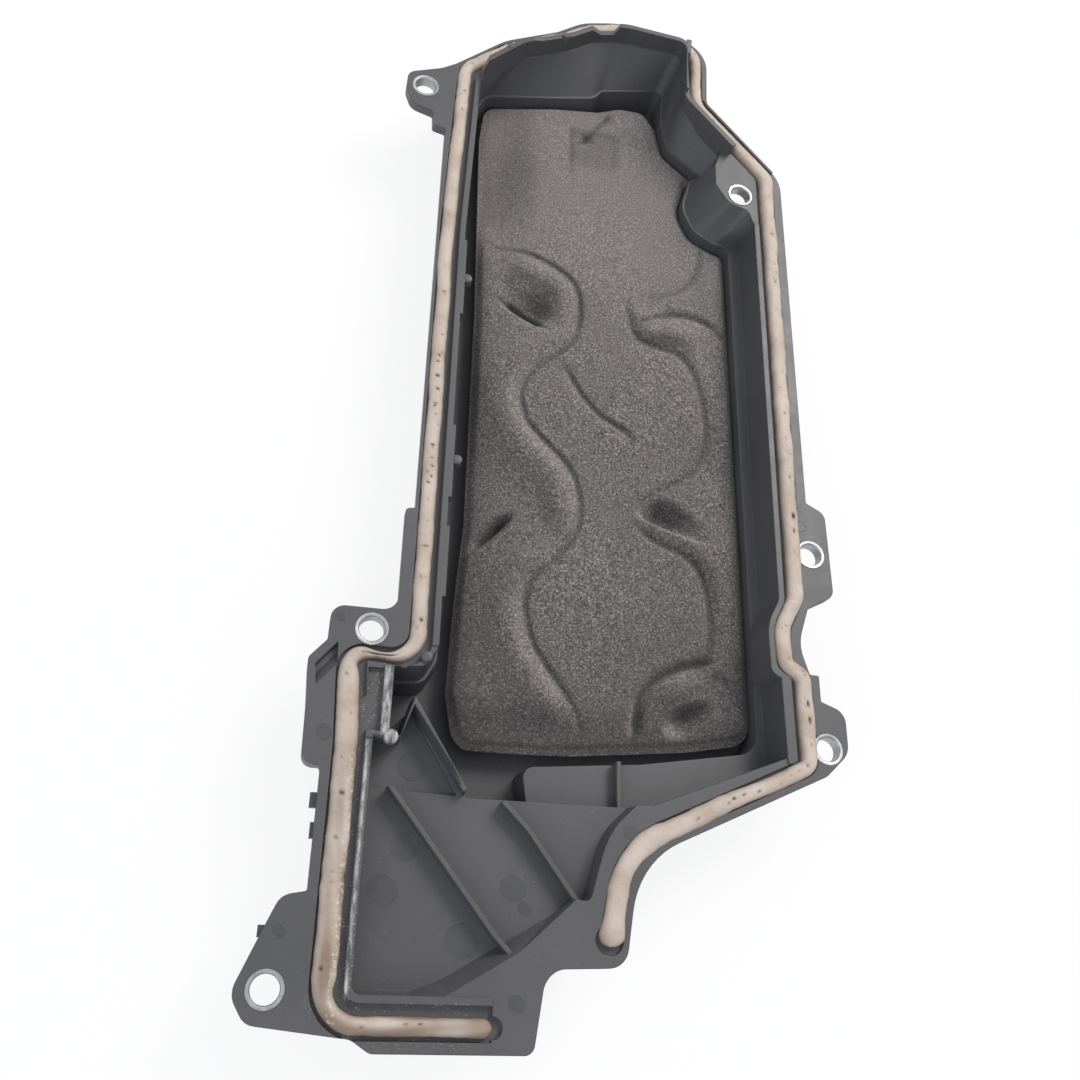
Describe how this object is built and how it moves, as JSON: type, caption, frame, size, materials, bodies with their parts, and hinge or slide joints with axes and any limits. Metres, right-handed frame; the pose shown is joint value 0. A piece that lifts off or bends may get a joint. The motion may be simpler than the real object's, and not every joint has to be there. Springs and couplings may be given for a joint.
{
  "type": "engine cover",
  "caption": "Long moulded engine cover, open side up, with a foamed edge seal, a fabric sound-deadening pad in its hollow and metal sleeves in its screw ears.",
  "frame": {"origin": "axis of the lower left screw hole, in the plane of the mounting face", "axes": "+X across the cover, +Y along its long straight sides away from the lower left screw, +Z out of the open side towards the engine"},
  "size_m": [0.2127, 0.4565, 0.0445],
  "materials": {
    "housing_plastic": "dark grey filled plastic, satin, scuffed at the edges",
    "seal_foam": "pale grey-pink foamed bead with a dull skin",
    "pad_felt": "speckled dark felt, pressed and creased",
    "limiter_metal": "plain turned sleeve"
  },
  "bodies": {
    "root": {"cover_housing": "housing_plastic", "foam_seal": "seal_foam", "acoustic_pad": "pad_felt", "limiter_lower_left": "limiter_metal", "limiter_left_middle": "limiter_metal", "limiter_top_left": "limiter_metal", "limiter_top_right": "limiter_metal", "limiter_right_middle": "limiter_metal", "limiter_right_lower": "limiter_metal"}
  },
  "joints": []
}
